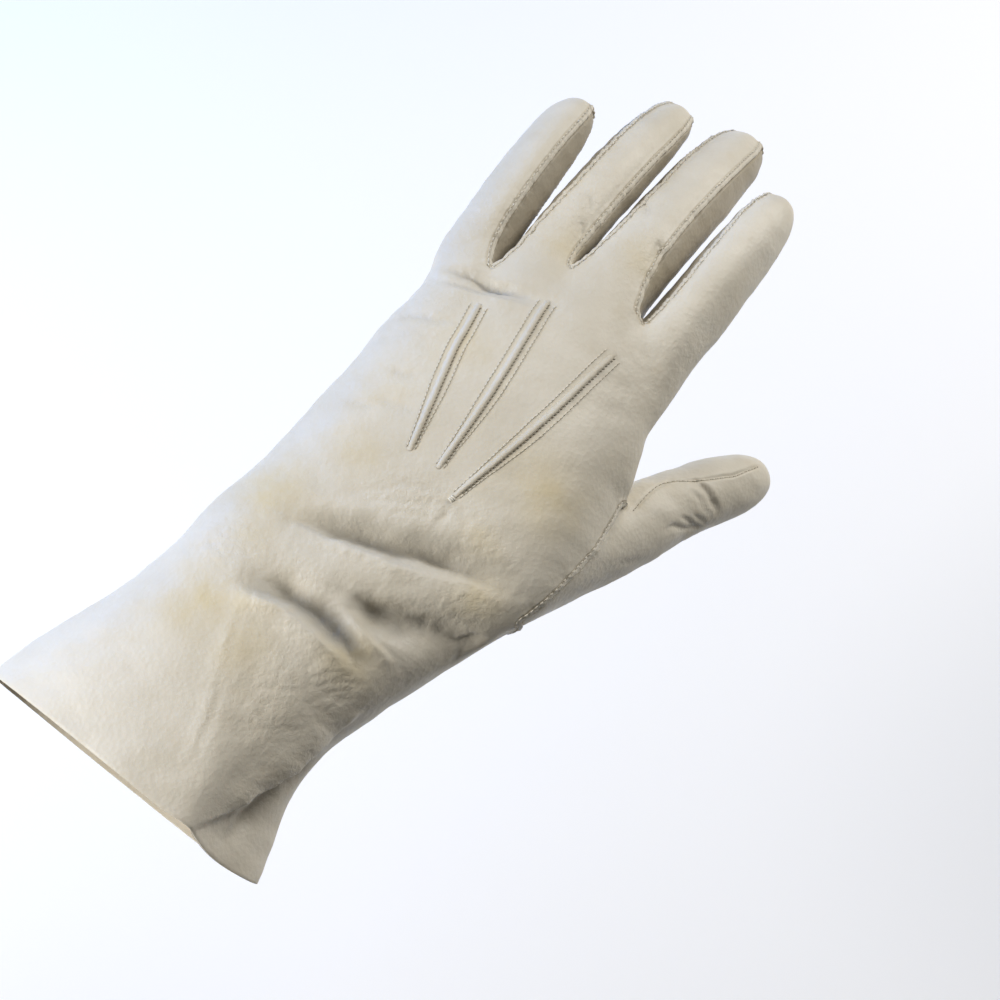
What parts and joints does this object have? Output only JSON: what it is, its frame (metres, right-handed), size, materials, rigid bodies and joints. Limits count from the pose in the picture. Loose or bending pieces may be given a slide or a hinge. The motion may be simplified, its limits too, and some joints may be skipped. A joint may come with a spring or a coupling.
{
  "type": "kidskin dress glove",
  "caption": "Left-hand dress glove of thin cream kid leather, in its worn form, with set-in thumb, finger strips, raised points on the back and a plain open cuff.",
  "frame": {"origin": "centre of the hem opening, in the plane across the wrist", "axes": "+Y from the hem towards the fingertips, +X towards the thumb side, +Z out of the back of the hand"},
  "size_m": [0.125, 0.2652, 0.0658],
  "materials": {
    "trank_leather": "soft satin kid leather, cream",
    "thumb_leather": "soft satin kid leather, cream",
    "fourchette_leather": "soft satin kid leather, slightly darker cream"
  },
  "bodies": {
    "root": {"trank": "trank_leather", "thumb": "thumb_leather", "fourchette_ring_little": "fourchette_leather", "fourchette_middle_ring": "fourchette_leather", "fourchette_index_middle": "fourchette_leather"}
  },
  "joints": []
}
